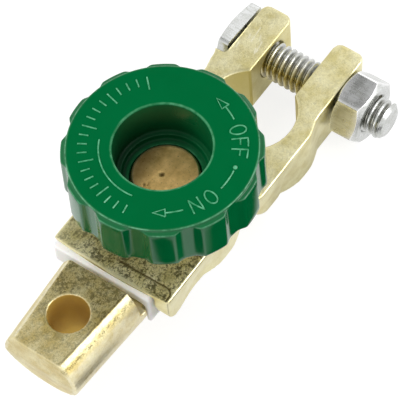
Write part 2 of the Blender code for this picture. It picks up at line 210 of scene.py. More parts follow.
GREEN_MID = (0.0, 0.108, 0.028, 1.0)
GREEN_PALE = (0.0, 0.130, 0.037, 1.0)
GREEN_SHADE = (0.0, 0.004, 0.001, 1.0)
GREEN_WEAR_AND_HIGHLIGHT = (0.16, 0.52, 0.28, 1.0)
MARK_MID = (0.01, 0.24, 0.09, 1.0)
MARK_PALE = (0.12, 0.46, 0.25, 1.0)
NYLON_MID = (0.90, 0.89, 0.885, 1.0)
NYLON_PALE = (0.97, 0.97, 0.965, 1.0)
NYLON_GRIME = (0.55, 0.53, 0.50, 1.0)
ZINC_MID = (0.62, 0.63, 0.61, 1.0)
ZINC_PALE = (0.80, 0.81, 0.81, 1.0)
ZINC_BRUSHED = (0.44, 0.45, 0.40, 1.0)
ZINC_BRASS_REFLECTION = (0.62, 0.52, 0.20, 1.0)
ZINC_SHADE = (0.12, 0.11, 0.07, 1.0)
ZINC_WORN = (0.97, 0.97, 0.97, 1.0)
STEEL_DARK = (0.10, 0.10, 0.12, 1.0)
STEEL_PALE = (0.24, 0.24, 0.26, 1.0)


def node(tree, kind, inputs=None, **settings):
    """A shader node with its settings and its inputs, each a value or another node's output."""
    made = tree.nodes.new("ShaderNode" + kind)
    for key, value in settings.items():
        setattr(made, key, value)
    for key, value in (inputs or {}).items():
        if isinstance(value, bpy.types.NodeSocket):
            tree.links.new(value, made.inputs[key])
        else:
            made.inputs[key].default_value = value
    return made


def place_of(tree):
    return node(tree, "TexCoord").outputs["Object"]


def noise(tree, where, scale, detail=4.0, roughness=0.55, distortion=0.0):
    made = node(tree, "TexNoise", {"Vector": where, "Scale": scale, "Detail": detail,
                                   "Roughness": roughness, "Distortion": distortion})
    return made.outputs["Fac"]


def ramp(tree, value, low, high, out_low=0.0, out_high=1.0):
    made = node(tree, "MapRange", {"Value": value, "From Min": low, "From Max": high,
                                   "To Min": out_low, "To Max": out_high})
    return made.outputs["Result"]


def maths(tree, operation, first, second=0.0):
    made = node(tree, "Math", {0: first, 1: second}, operation=operation)
    return made.outputs[0]


def times(tree, first, second):
    return maths(tree, "MULTIPLY", first, second)


def summed(tree, *terms):
    total = terms[0]
    for term in terms[1:]:
        total = maths(tree, "ADD", total, term)
    return total


def blend_colour(tree, amount, first, second):
    made = node(tree, "Mix", {0: amount, 6: first, 7: second}, data_type="RGBA")
    return made.outputs[2]


def painted(tree, name):
    """The value that the mesh carries under this name."""
    return node(tree, "Attribute", attribute_name=name).outputs["Fac"]


def tinted(tree, body, name, colour):
    """The body's colour, turned to this one where the mesh carries the named value."""
    return blend_colour(tree, painted(tree, name), body, colour)


def bump(tree, height, distance_mm, strength=1.0, under=None):
    inputs = {"Height": height, "Distance": distance_mm * MM, "Strength": strength}
    if under is not None:
        inputs["Normal"] = under
    return node(tree, "Bump", inputs).outputs["Normal"]


def stretched(tree, where, factors):
    return node(tree, "Mapping", {"Vector": where, "Scale": factors}).outputs["Vector"]


def new_surface(name):
    made = bpy.data.materials.new(name)
    made.use_nodes = True
    tree = made.node_tree
    return made, tree, tree.nodes["Principled BSDF"]


def feed(tree, shader, **values):
    names = {"colour": "Base Color", "roughness": "Roughness", "metallic": "Metallic", "normal": "Normal",
             "level": "Specular IOR Level", "scatter": "Subsurface Weight",
             "scatter_scale": "Subsurface Scale"}
    for key, value in values.items():
        socket = shader.inputs[names[key]]
        if isinstance(value, bpy.types.NodeSocket):
            tree.links.new(value, socket)
        else:
            socket.default_value = value


def cast_brass(name, pale, mid, dark, inside):
    """Rough cast brass: mottled, with dark pits where the mesh is marked rough, and bright edges from wear
    and painted light.
    """
    made, tree, shader = new_surface(name)
    where = place_of(tree)
    cloud = noise(tree, where, 230.0, 5.0, 0.62)
    fleck = noise(tree, where, 1700.0, 4.0, 0.70, 0.8)
    patch = noise(tree, where, 420.0, 3.0, 0.6)
    grain = noise(tree, where, 3400.0, 3.0, 0.75)
    rough = painted(tree, "rough")
    body = blend_colour(tree, ramp(tree, cloud, 0.36, 0.64), mid, pale)
    speckle = summed(tree, times(tree, rough, 0.7), 0.14)
    body = blend_colour(tree, times(tree, ramp(tree, grain, 0.46, 0.66), speckle), body, dark)
    spread = summed(tree, fleck, times(tree, maths(tree, "SUBTRACT", patch, 0.5), 0.55))
    pits = times(tree, ramp(tree, spread, 0.47, 0.585), rough)
    body = blend_colour(tree, times(tree, pits, 0.92), body, CAST_PIT)
    # Painted shade in holes and hollows marked inside, which are also rougher
    body = tinted(tree, body, "inside", inside)
    body = tinted(tree, body, "shade", CAST_SHADE)
    broken = ramp(tree, noise(tree, where, 800.0, 3.0, 0.7), 0.38, 0.56, 0.45, 1.0)
    # Bright rims from wear, with painted light and painted highlights where the mesh carries them
    body = blend_colour(tree, times(tree, painted(tree, "wear_and_painted_light"), broken), body, CAST_WEAR_AND_LIGHT)
    gloss = summed(tree, ramp(tree, cloud, 0.3, 0.7, 0.30, 0.40), times(tree, rough, 0.32),
                   times(tree, painted(tree, "inside"), 0.36))
    fine = bump(tree, noise(tree, where, 4200.0, 2.0, 0.6), 0.03, 0.7)
    high = maths(tree, "SUBTRACT", 1.0, ramp(tree, spread, 0.42, 0.60))
    relief = times(tree, high, summed(tree, times(tree, rough, 0.85), 0.12))
    feed(tree, shader, colour=body, metallic=1.0, roughness=gloss, normal=bump(tree, relief, 0.05, 1.0, fine))
    return made


def turned_brass():
    """Turned brass with faint rings of the tool and a little tarnish."""
    made, tree, shader = new_surface("turned_brass")
    where = place_of(tree)
    cloud = noise(tree, where, 420.0, 5.0, 0.6)
    fleck = noise(tree, where, 2600.0, 2.0, 0.6)
    radius = node(tree, "VectorMath", {0: stretched(tree, where, (1.0, 1.0, 0.0))}, operation="LENGTH")
    rings = maths(tree, "SINE", times(tree, radius.outputs["Value"], 2 * math.pi / (0.28 * MM)))
    body = blend_colour(tree, ramp(tree, cloud, 0.35, 0.65), TURNED_MID, TURNED_PALE)
    body = blend_colour(tree, ramp(tree, fleck, 0.62, 0.70, 0.0, 0.6), body, TURNED_TARNISH)
    body = tinted(tree, body, "shade", TURNED_SHADE)
    body = tinted(tree, body, "wear_and_painted_light", TURNED_WORN)
    feed(tree, shader, colour=body, metallic=1.0, roughness=ramp(tree, cloud, 0.3, 0.7, 0.40, 0.52),
         normal=bump(tree, summed(tree, rings, fleck), 0.008, 0.6))
    return made


def green_plastic():
    """Glossy moulded plastic, pale along its edges from rubbing and painted highlights, and dull where the
    mesh is marked rough.
    """
    made, tree, shader = new_surface("green_plastic")
    where = place_of(tree)
    cloud = noise(tree, where, 130.0, 4.0, 0.5)
    body = blend_colour(tree, cloud, GREEN_MID, GREEN_PALE)
    body = tinted(tree, body, "shade", GREEN_SHADE)
    rub = ramp(tree, noise(tree, where, 380.0, 4.0, 0.7), 0.40, 0.62, 0.15, 1.0)
    # Rubbed rims and painted highlights
    body = blend_colour(tree, times(tree, painted(tree, "wear_and_painted_light"), rub), body, GREEN_WEAR_AND_HIGHLIGHT)
    scuff = ramp(tree, noise(tree, where, 900.0, 4.0, 0.7), 0.52, 0.66, 0.0, 0.05)
    dull = painted(tree, "rough")
    gloss = summed(tree, scuff, 0.10, times(tree, dull, 0.30))
    feed(tree, shader, colour=body, roughness=gloss, level=ramp(tree, dull, 0.0, 1.0, 0.36, 0.12),
         normal=bump(tree, noise(tree, where, 500.0, 3.0), 0.008, 0.4))
    return made


def mark_plastic():
    """The raised marks: the knob's plastic, rubbed to a paler green."""
    made, tree, shader = new_surface("green_mark")
    rub = ramp(tree, noise(tree, place_of(tree), 900.0, 3.0), 0.35, 0.65)
    body = blend_colour(tree, rub, MARK_MID, MARK_PALE)
    feed(tree, shader, colour=body, roughness=0.28, level=0.5)
    return made


def white_nylon():
    """Matt white nylon with a few specks of grime."""
    made, tree, shader = new_surface("white_nylon")
    where = place_of(tree)
    cloud = noise(tree, where, 240.0, 5.0, 0.6)
    body = blend_colour(tree, ramp(tree, cloud, 0.35, 0.65), NYLON_MID, NYLON_PALE)
    grime = ramp(tree, noise(tree, where, 1400.0, 3.0, 0.6), 0.66, 0.78, 0.0, 0.3)
    body = blend_colour(tree, grime, body, NYLON_GRIME)
    feed(tree, shader, colour=body, roughness=ramp(tree, cloud, 0.3, 0.7, 0.42, 0.55), scatter=0.12,
         scatter_scale=0.6 * MM, normal=bump(tree, noise(tree, where, 1800.0, 3.0), 0.02, 0.5))
    return made


def zinc_plate():
    """Bright plated steel with the fine marks of its making, and a painted gold reflection of the brass where
    the mesh is marked inside.
    """
    made, tree, shader = new_surface("bright_zinc")
    where = place_of(tree)
    cloud = noise(tree, where, 300.0, 5.0, 0.6)
    brushed = noise(tree, stretched(tree, where, (8.0, 1.0, 8.0)), 330.0, 3.0, 0.7)
    body = blend_colour(tree, ramp(tree, cloud, 0.35, 0.65), ZINC_MID, ZINC_PALE)
    body = blend_colour(tree, ramp(tree, brushed, 0.42, 0.66, 0.0, 0.55), body, ZINC_BRUSHED)
    body = tinted(tree, body, "inside", ZINC_BRASS_REFLECTION)
    body = tinted(tree, body, "shade", ZINC_SHADE)
    body = tinted(tree, body, "wear_and_painted_light", ZINC_WORN)
    feed(tree, shader, colour=body, metallic=1.0, roughness=ramp(tree, cloud, 0.3, 0.7, 0.22, 0.32),
         normal=bump(tree, brushed, 0.015, 0.5))
    return made


def spring_steel():
    made, tree, shader = new_surface("spring_steel")
    cloud = noise(tree, place_of(tree), 600.0, 4.0)
    body = blend_colour(tree, cloud, STEEL_DARK, STEEL_PALE)
    feed(tree, shader, colour=body, metallic=1.0, roughness=ramp(tree, cloud, 0.3, 0.7, 0.28, 0.42))
    return made


CLAMP_BRASS = cast_brass("clamp_brass", CLAMP_PALE, CLAMP_MID, CLAMP_DARK, CLAMP_HOLLOW_SHADE)
POST_BRASS = cast_brass("post_brass", POST_PALE, POST_MID, POST_DARK, POST_HOLE_SHADE)
TURNED = turned_brass()
GREEN = green_plastic()
MARK = mark_plastic()
NYLON = white_nylon()
ZINC = zinc_plate()
SPRING = spring_steel()


def ease(t):
    t = np.clip(t, 0.0, 1.0)
    return t * t * (3.0 - 2.0 * t)


def near(value, centre, width):
    """1 at the centre, falling off smoothly over the width."""
    return np.exp(-((value - centre) / width) ** 2)


def carry(mesh, name, values):
    """Stores a value per vertex on the mesh, for the materials to read."""
    if name in mesh.attributes:
        mesh.attributes.remove(mesh.attributes[name])
    layer = mesh.attributes.new(name, "FLOAT", "POINT")
    layer.data.foreach_set("value", np.clip(values, 0.0, 1.0).astype(np.float32))


def finish_piece(mesh, name, surface, slot, body, *nodes, sharp=None):
    """Makes the piece, lets it ride on its body, and says which solids it replaces."""
    for layer in ("wear_and_painted_light", "shade", "rough", "inside"):
        if layer not in mesh.attributes:
            carry(mesh, layer, np.zeros(len(mesh.vertices)))
    mesh.materials.clear()
    mesh.materials.append(surface)
    mesh.shade_smooth()
    if sharp is not None:
        mesh.set_sharp_from_angle(angle=math.radians(sharp))
    piece = bpy.data.objects.new(name, mesh)
    bpy.context.scene.collection.objects.link(piece)
    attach(piece, body)
    if nodes:
        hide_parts(*nodes)


def vertices_of(mesh):
    """The mesh's vertices in millimetres."""
    flat = np.zeros(len(mesh.vertices) * 3, np.float32)
    mesh.vertices.foreach_get("co", flat)
    return flat.reshape(-1, 3).astype(float) / MM


def set_vertices(mesh, points):
    mesh.vertices.foreach_set("co", (points * MM).astype(np.float32).ravel())
    mesh.update()


def edges_of(mesh):
    flat = np.zeros(len(mesh.edges) * 2, np.int32)
    mesh.edges.foreach_get("vertices", flat)
    return flat.reshape(-1, 2)


def normals_of(mesh):
    flat = np.zeros(len(mesh.vertices) * 3, np.float32)
    mesh.vertex_normals.foreach_get("vector", flat)
    return flat.reshape(-1, 3).astype(float)


def averaged(values, edges):
    """Each vertex's mean over its neighbours."""
    count = len(values)
    degree = np.bincount(edges.ravel(), minlength=count).clip(1)
    columns = []
    for column in values.reshape(count, -1).T:
        total = np.bincount(edges[:, 0], column[edges[:, 1]], count)
        total += np.bincount(edges[:, 1], column[edges[:, 0]], count)
        columns.append(total / degree)
    return np.array(columns).T.reshape(values.shape)


def relaxed(points, edges, passes):
    for _ in range(passes):
        points = points + 0.5 * (averaged(points, edges) - points)
    return points


def with_modifier(mesh, kind, **settings):
    """A new mesh with this modifier applied."""
    carrier = bpy.data.objects.new("carrier", mesh)
    bpy.context.scene.collection.objects.link(carrier)
    step = carrier.modifiers.new(kind.lower(), kind)
    for key, value in settings.items():
        setattr(step, key, value)
    bpy.context.view_layer.update()
    graph = bpy.context.evaluated_depsgraph_get()
    result = bpy.data.meshes.new_from_object(carrier.evaluated_get(graph))
    bpy.data.objects.remove(carrier)
    return result


def rounded_copy(node_name, voxel, passes):
    """A copy of a solid with the softened edges of a casting."""
    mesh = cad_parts[node_name].data.copy()
    work = bmesh.new()
    work.from_mesh(mesh)
    bmesh.ops.remove_doubles(work, verts=work.verts, dist=0.001 * MM)
    work.to_mesh(mesh)
    work.free()
    mesh = with_modifier(mesh, "REMESH", mode="VOXEL", voxel_size=voxel * MM)
    set_vertices(mesh, relaxed(vertices_of(mesh), edges_of(mesh), passes))
    return mesh


def mark_edges(mesh, gain):
    """Marks outward edges for wear, and gives how deep each inward corner is."""
    points, edges, normals = vertices_of(mesh), edges_of(mesh), normals_of(mesh)
    bend = ((points - averaged(points, edges)) * normals).sum(1)
    for _ in range(2):
        bend = 0.5 * bend + 0.5 * averaged(bend, edges)
    carry(mesh, "wear_and_painted_light", bend * gain - 0.12)
    carry(mesh, "corner", -bend * gain - 0.35)


def carried(mesh, name):
    values = np.zeros(len(mesh.vertices), np.float32)
    mesh.attributes[name].data.foreach_get("value", values)
    return values.astype(float)


def refine_where(mesh, chosen):
    """Splits the edges whose ends are both chosen in three."""
    work = bmesh.new()
    work.from_mesh(mesh)
    work.verts.ensure_lookup_table()
    edges = [e for e in work.edges if chosen[e.verts[0].index] and chosen[e.verts[1].index]]
    bmesh.ops.subdivide_edges(work, edges=edges, cuts=2, use_grid_fill=True)
    work.to_mesh(mesh)
    work.free()


def draw_in(points, across, centre, closer):
    """Moves points towards an axis. The two columns across it are named, with the axis's place in them."""
    offset = points[:, across] - centre
    share = closer / np.hypot(*offset.T).clip(1.0)
    points[:, across] -= offset * share[:, None]


def lip_distance(points):
    """Distance from the line that sets off the hood's front lip: straight across, then round to the front."""
    x = points[:, 0] - (LIP_LINE_X - LIP_CORNER)
    y = np.abs(points[:, 1]) - (LIP_LINE_HALF - LIP_CORNER)
    outside = np.hypot(np.clip(x, 0, None), np.clip(y, 0, None)) + np.minimum(np.maximum(x, y), 0.0)
    return outside - LIP_CORNER


def refine_clamp(mesh):
    """Finer faces along the hood's drawn line and on the scratched ear."""
    points = vertices_of(mesh)
    on_plate = (points[:, 2] > HOOD_TOP - 0.4) & (points[:, 2] < HOOD_TOP + 0.2) & (points[:, 0] < HOOD_BACK)
    refine_where(mesh, on_plate & (np.abs(lip_distance(points)) < 0.9) & (points[:, 0] > HOOD_FRONT + 0.3))
    points = vertices_of(mesh)
    on_ear = (points[:, 2] > 12.9) & (points[:, 0] > 38.0) & (points[:, 0] < 46.0) & (points[:, 1] > 6.0)
    refine_where(mesh, on_ear & (points[:, 1] < 11.8))


def scratches(x, y):
    """How strongly each place is scratched."""
    result = np.zeros(len(x))
    for (x0, y0), (x1, y1) in SCRATCHES:
        length = math.hypot(x1 - x0, y1 - y0)
        along = np.clip(((x - x0) * (x1 - x0) + (y - y0) * (y1 - y0)) / length ** 2, 0.0, 1.0)
        gap = np.hypot(x - x0 - along * (x1 - x0), y - y0 - along * (y1 - y0))
        result = np.maximum(result, 0.8 * near(gap, 0.0, 0.13))
    return result


def clamp_piece():
    """The clamp casting: the hood's drawn line, its lowered strip and bowed front, the wear all over, and
    painted light and shade.
    """
    mesh = rounded_copy("clamp_casting", 0.30, 3)
    mark_edges(mesh, 9.0)
    refine_clamp(mesh)
    points, normals = vertices_of(mesh), normals_of(mesh)
    x, y, z = points.T
    plate = ease((normals[:, 2] - 0.5) / 0.4) * (np.abs(z - HOOD_TOP) < 0.5) * (x < HOOD_BACK)
    line = plate * near(lip_distance(points), 0.0, 0.2) * ease((LINE_START - y) / 2.5)
    strip = plate * ease(-lip_distance(points) / 0.25) * ease((LINE_START + 1.0 - y) / 2.5)
    front = ease((-x - 14.5) / 4.0) * ease((z - 12.0) / 2.0)
    points[:, 2] -= LINE_DEPTH * line + STRIP_DEPTH * strip
    points[:, 0] -= FRONT_BOW * front * (1.0 - (y / HOOD_HALF) ** 2)
    # The ears' holes are drawn in by a quarter of a millimetre
    from_bolt = np.hypot(x - BOLT_X, z - BOLT_Z)
    closer = np.clip(EAR_HOLE_RIM - from_bolt, 0.0, 0.6) * 0.45 * (np.abs(y) > EAR_INNER)
    draw_in(points, [0, 2], (BOLT_X, BOLT_Z), closer)
    set_vertices(mesh, points)
    scratched = scratches(x, y) * (normals[:, 2] > 0.9) * (z > 12.0)
    from_rim = np.minimum(x - HOOD_FRONT + 0.6 * FRONT_BOW, HOOD_HALF - np.abs(y))
    smooth_corner = near(np.hypot(x - HOOD_FRONT, y - HOOD_HALF), 0.0, 6.5)
    rough = plate * ease((from_rim - 0.15) / 0.6) * (1.0 - 0.5 * smooth_corner)
    from_bore = np.hypot(x - BORE_X, y)
    bore = (from_bore < BORE_RADIUS + 0.35) * (np.abs(normals[:, 2]) < 0.6)
    clamp_top = ease((normals[:, 2] - 0.7) / 0.2) * (z > 12.0) * (x > HOOD_BACK)
    # The hood's side walls are lightened with a quarter of the wear colour: painted light
    hood_side_light = ease((0.5 - np.abs(normals[:, 2])) / 0.3) * (np.abs(y) > HOOD_HALF - 0.6) * (x < HOOD_BACK)
    carry(mesh, "wear_and_painted_light", np.maximum(np.maximum(carried(mesh, "wear_and_painted_light"), 0.25 * hood_side_light), scratched))
    carry(mesh, "rough", rough * 0.84 + 0.12 * clamp_top)
    # Painted shade in the drawn line and in the inward corners
    carry(mesh, "shade", 0.95 * line + 0.55 * carried(mesh, "corner"))
    # Painted shade, with a rougher finish, in the bore and in the gap between the ears
    carry(mesh, "inside", 0.7 * bore + 0.35 * (np.abs(y) < 5.6) * (x > 34))
    finish_piece(mesh, "clamp_casting_brass", CLAMP_BRASS, "cast_brass", "housing", "clamp_casting")


def post_piece():
    """The cable post: the mould's seam along it, its hole drawn in below, the wear round its flat, and
    painted light, highlight and shade.
    """
    mesh = rounded_copy("post_casting", 0.28, 3)
    mark_edges(mesh, 11.0)
    points, normals = vertices_of(mesh), normals_of(mesh)
    x, y, z = points.T
    flat = ease((normals[:, 2] - 0.8) / 0.15) * (z > POST_FLAT_Z - 0.3)
    hole = (np.hypot(x - POST_HOLE_X, y) < POST_HOLE_RADIUS + 0.3) * (np.abs(normals[:, 2]) < 0.6)
    skin = np.hypot(y, z - POST_AXIS_Z) > POST_SKIN
    seam = near(z, POST_AXIS_Z, 0.22) * skin * (x < -20)
    taper = (POST_BACK_RADIUS - POST_FRONT_RADIUS) / (POST_BACK - POST_FRONT)
    radius = POST_FRONT_RADIUS + taper * (x - POST_FRONT)
    flat_edge = np.degrees(np.arccos(np.clip((POST_FLAT_Z - POST_AXIS_Z) / radius, 0.0, 1.0)))
    past_edge = np.degrees(np.arctan2(np.abs(y), z - POST_AXIS_Z)) - flat_edge
    on_post = (x < POST_BACK - 0.3) * skin * (hole == 0)
    # A painted highlight in a band along the round side next to the flat
    highlight_band = ease((past_edge - 0.5) / 1.5) * ease((9.0 - past_edge) / 2.5) * on_post * (x > -41.2)
    streak = near(past_edge, 12.0, 3.4) * on_post * (y < 0)
    # A painted shade line along the flat's border on its -Y side
    rim = near(past_edge, -0.6, 1.0) * on_post * (x > -41.0) * (y < 0) * (z > POST_FLAT_Z - 0.4)
    points = points + normals * (0.07 * seam)[:, None]
    from_hole = np.hypot(x - POST_HOLE_X, y)
    closer = POST_HOLE_NARROWING * ease((POST_AXIS_Z + 3.0 - z) / 9.0) * ease((5.5 - from_hole) / 0.8)
    draw_in(points, [0, 1], (POST_HOLE_X, 0.0), closer)
    set_vertices(mesh, points)
    # Painted light: the round side lower down is lightened with the wear colour
    side = ease((past_edge - 17.0) / 6.0) * on_post
    wear_and_sheen = np.maximum(carried(mesh, "wear_and_painted_light") * (1.0 - hole * (z < POST_FLAT_Z - 0.4)), 0.45 * side)
    carry(mesh, "wear_and_painted_light", np.maximum(wear_and_sheen, 0.6 * highlight_band * (flat < 0.5)))
    front = (normals[:, 0] < -0.8) * (x < POST_FRONT + 0.6)
    uphill = ease((x + 39) / 13)
    carry(mesh, "rough", flat * (0.22 + 0.33 * uphill) + 0.08 + 0.55 * streak + 0.2 * highlight_band)
    carry(mesh, "shade", 0.25 * carried(mesh, "corner") + flat * 0.24 * uphill + 0.55 * rim + 0.1 * front)
    # Painted shade in the post's hole
    carry(mesh, "inside", 0.9 * hole)
    finish_piece(mesh, "post_casting_brass", POST_BRASS, "cast_brass", "housing", "post_casting")


def insulator_piece():
    """The insulator, with the outer front corner of its flange rounded."""
    mesh = rounded_copy("insulator_block", 0.36, 4)
    points = vertices_of(mesh)
    x, y, _ = points.T
    outward = np.minimum(x - FLANGE_FRONT - FLANGE_CORNER, 0.0)
    sideways = np.maximum(y - FLANGE_OUTER + FLANGE_CORNER, 0.0)
    shrink = np.minimum(FLANGE_CORNER / np.hypot(outward, sideways).clip(0.01), 1.0) - 1.0
    points[:, 0] += outward * shrink
    points[:, 1] += sideways * shrink
    set_vertices(mesh, points)
    finish_piece(mesh, "insulator_nylon", NYLON, "white_nylon", "housing", "insulator_block")


def grid_mesh(name, rows, closed_rows):
    """A surface through rows of equal point counts, each row a closed ring. The rows close on themselves,
    or else the first and last rows are capped."""
    rows = np.asarray(rows, float)
    count, around = rows.shape[:2]
    last = count if closed_rows else count - 1
    faces = []
    for i in range(last):
        below, above = i * around, (i + 1) % count * around
        for j in range(around):
            k = (j + 1) % around
            faces.append((below + j, below + k, above + k, above + j))
    if not closed_rows:
        faces.append(tuple(reversed(range(around))))
        faces.append(tuple(range((count - 1) * around, count * around)))
    mesh = bpy.data.meshes.new(name)
    mesh.from_pydata((rows.reshape(-1, 3) * MM).tolist(), [], faces)
    work = bmesh.new()
    work.from_mesh(mesh)
    bmesh.ops.recalc_face_normals(work, faces=work.faces)
    work.to_mesh(mesh)
    work.free()
    return mesh


def rounded_profile(corners, steps=4):
    """A closed profile of (radius, height, fillet) corners, each turned into a small arc."""
    points = []
    count = len(corners)
    for i, (r, z, fillet) in enumerate(corners):
        here = Vector((r, z))
        before = Vector(corners[i - 1][:2]) - here
        after = Vector(corners[(i + 1) % count][:2]) - here
        if fillet <= 0:
            points.append((r, z))
            continue
        reach = min(fillet, before.length * 0.45, after.length * 0.45)
        start = here + before.normalized() * reach
        end = here + after.normalized() * reach
        for k in range(steps + 1):
            t = k / steps
            spot = start * (1 - t) ** 2 + here * 2 * t * (1 - t) + end * t ** 2
            points.append(tuple(spot))
    return points


def full_turn(count):
    return np.linspace(0, 2 * math.pi, count, endpoint=False)


def ring_of(turn, radius, z):
    """One ring of points about the Z axis. Its radius and height are numbers, or a value per angle."""
    return np.stack([radius * np.cos(turn), radius * np.sin(turn), np.broadcast_to(z, turn.shape)], 1)


def lathe(name, profile):
    turn = full_turn(96)
    return grid_mesh(name, [ring_of(turn, radius, z) for radius, z in profile], True)


def lobe_wave(angle):
    """1 on a lobe's flat top and 0 at the bottom of a valley."""
    wave = 0.5 + 0.5 * np.cos(LOBES * (angle - LOBE_PHASE))
    return ease(np.minimum(wave * 1.6, 1.0))


def knob_rings():
    """The knob's rings, each with how pale it is from wear and painted highlights and how dark from painted
    shade: from its face down the lobes, round the hub and up the recess."""
    turn = full_turn(LOBES * 36)
    wave = lobe_wave(turn)
    # Painted shade in the recess, darkest towards its +Y side
    recess_dark = 0.30 + 0.45 * near((turn - math.radians(105)) / math.radians(60), 0.0, 1.0)
    rows, wear_and_painted_light, shade = [], [], []

    def ring(radius, z, wear_and_sheen=0.0, dark=0.0):
        rows.append(ring_of(turn, radius, z))
        wear_and_painted_light.append(np.broadcast_to(wear_and_sheen, turn.shape))
        shade.append(np.broadcast_to(dark, turn.shape))

    for r in (12.0, 14.0, 15.5, 16.8, FACE_RADIUS - 0.55):
        ring(r, KNOB_TOP)
    for a in (0, 22, 45, 68, 90):
        a = math.radians(a)
        ring(FACE_RADIUS - 0.3 + 0.3 * math.sin(a), KNOB_TOP - 0.3 + 0.3 * math.cos(a),
             0.8 * math.sin(2 * a) ** 2)
    rise = LOBE_RADIUS - FACE_RADIUS
    for share, drop, wear_and_sheen in ((0.12, 0.47, 0.0), (0.45, 0.53, 0.0), (0.72, 0.58, 0.0), (0.88, 0.66, 0.45),
                              (0.97, 0.8, 0.3), (1.0, LOBE_DROP, 0.0)):
        ring(FACE_RADIUS + rise * share * wave, KNOB_TOP - drop, wear_and_sheen * wave)
    wall = FACE_RADIUS + rise * wave
    wall_height = KNOB_TOP - LOBE_DROP - (KNOB_BOTTOM + 0.6)
    for t in np.linspace(0.15, 1.0, 8):
        ring(wall + 0.12 * t, KNOB_TOP - LOBE_DROP - wall_height * t)
    for a in (25, 50, 75, 90):
        a = math.radians(a)
        ring(wall + 0.12 - 0.5 * (1 - math.cos(a)), KNOB_BOTTOM + 0.5 * (1 - math.sin(a)))
    for r in (17.0, 15.0, 13.0, HUB_RADIUS + 0.4):
        ring(r, KNOB_BOTTOM)
    for r, z in ((HUB_RADIUS + 0.1, KNOB_BOTTOM - 0.1), (HUB_RADIUS, KNOB_BOTTOM - 0.4),
                 (HUB_RADIUS, HUB_BOTTOM + 0.3), (HUB_RADIUS - 0.3, HUB_BOTTOM),
                 (HEAD_BORE + 0.3, HUB_BOTTOM), (HEAD_BORE, HUB_BOTTOM + 0.3),
                 (HEAD_BORE, KNOB_BOTTOM - 0.4), (HEAD_BORE, LEDGE_FLOOR - 0.25)):
        ring(r, z, 0.0, 0.4)
    # A painted highlight in an arc round the stud's head, paler where the recess is less shaded
    ring(HEAD_BORE + 0.12, LEDGE_FLOOR - 0.03, 0.5 * (1.0 - recess_dark), 0.1)
    ring(HEAD_BORE + 0.3, LEDGE_FLOOR, 0.2 * (1.0 - recess_dark), 0.1)
    ring(LEDGE_RADIUS - 0.5, LEDGE_FLOOR + 0.02, 0.0, recess_dark)
    ring(LEDGE_RADIUS - 0.15, LEDGE_FLOOR + 0.15, 0.0, recess_dark)
    ring(LEDGE_RADIUS, LEDGE_FLOOR + 0.5, 0.0, recess_dark)
    ring(LEDGE_RADIUS + 0.04, RECESS_FLOOR - 0.2, 0.0, recess_dark)
    ring(LEDGE_RADIUS + 0.12, RECESS_FLOOR - 0.05, 0.1, recess_dark)
    ring(LEDGE_RADIUS + 0.3, RECESS_FLOOR, 0.0, recess_dark)
    ring(RECESS_RADIUS - 0.45, RECESS_FLOOR + 0.04, 0.0, recess_dark)
    ring(RECESS_RADIUS - 0.12, RECESS_FLOOR + 0.16, 0.0, recess_dark + 0.1)
    ring(RECESS_RADIUS, RECESS_FLOOR + 0.5, 0.0, recess_dark + 0.15)
    for t in (0.2, 0.4, 0.6, 0.8, 1.0):
        ring(RECESS_RADIUS, RECESS_FLOOR + 0.5 + (KNOB_TOP - RECESS_FLOOR - 0.9) * t, 0.0,
             recess_dark * (1.1 - 0.35 * t))
    for a in (20, 45, 70, 90):
        a = math.radians(a)
        ring(RECESS_RADIUS + 0.32 * (1 - math.cos(a)), KNOB_TOP - 0.32 + 0.32 * math.sin(a),
             0.38 * math.sin(a))
    ring(RECESS_RADIUS + 0.55, KNOB_TOP)
    return rows, wear_and_painted_light, shade


def knob_piece():
    """The knob as one ring-shaped surface. Its recess is dull except for a glint high on one side."""
    rows, wear_and_painted_light, shade = knob_rings()
    mesh = grid_mesh("knob", rows, True)
    x, y, z = vertices_of(mesh).T
    carry(mesh, "wear_and_painted_light", np.concatenate(wear_and_painted_light))
    carry(mesh, "shade", np.concatenate(shade))
    in_recess = np.hypot(x, y) < RECESS_RADIUS + 0.1
    from_glint = np.degrees(np.abs(np.angle((x + 1j * y) * np.exp(-1j * math.radians(GLINT_TURN)))))
    dull_wall = 0.8 * (1.0 - near(from_glint, 0.0, 14.0) * ease((z - GLINT_LOW) / 1.5))
    carry(mesh, "rough", in_recess * np.maximum(dull_wall, ease((RECESS_FLOOR + 1.6 - z) / 1.2)))
    finish_piece(mesh, "knob_shell_plastic", GREEN, "green_plastic", "knob", "knob_shell")


def around_face(angle_deg, radius, outward=0.0, along=0.0):
    """A point on the knob's face: along runs clockwise and outward away from the axis."""
    angle = math.radians(angle_deg) - along / radius
    reach = radius + outward
    return (reach * math.cos(angle), reach * math.sin(angle), KNOB_TOP + 0.02)


LETTERS = {
    "O": [[(0.95 * math.cos(a), 1.55 * math.sin(a)) for a in np.linspace(0, 2 * math.pi, 29)]],
    "F": [[(-0.8, -1.55), (-0.8, 1.55), (0.95, 1.55)], [(-0.8, 0.1), (0.6, 0.1)]],
    "N": [[(-0.95, -1.55), (-0.95, 1.55), (0.95, -1.55), (0.95, 1.55)]],
}


def dense(points, step=0.3):
    """The same line with a point every step, so that it follows the face's curve."""
    result = [points[0]]
    for (x0, y0), (x1, y1) in zip(points, points[1:]):
        count = max(1, round(math.hypot(x1 - x0, y1 - y0) / step))
        for k in range(1, count + 1):
            result.append((x0 + (x1 - x0) * k / count, y0 + (y1 - y0) * k / count))
    return result


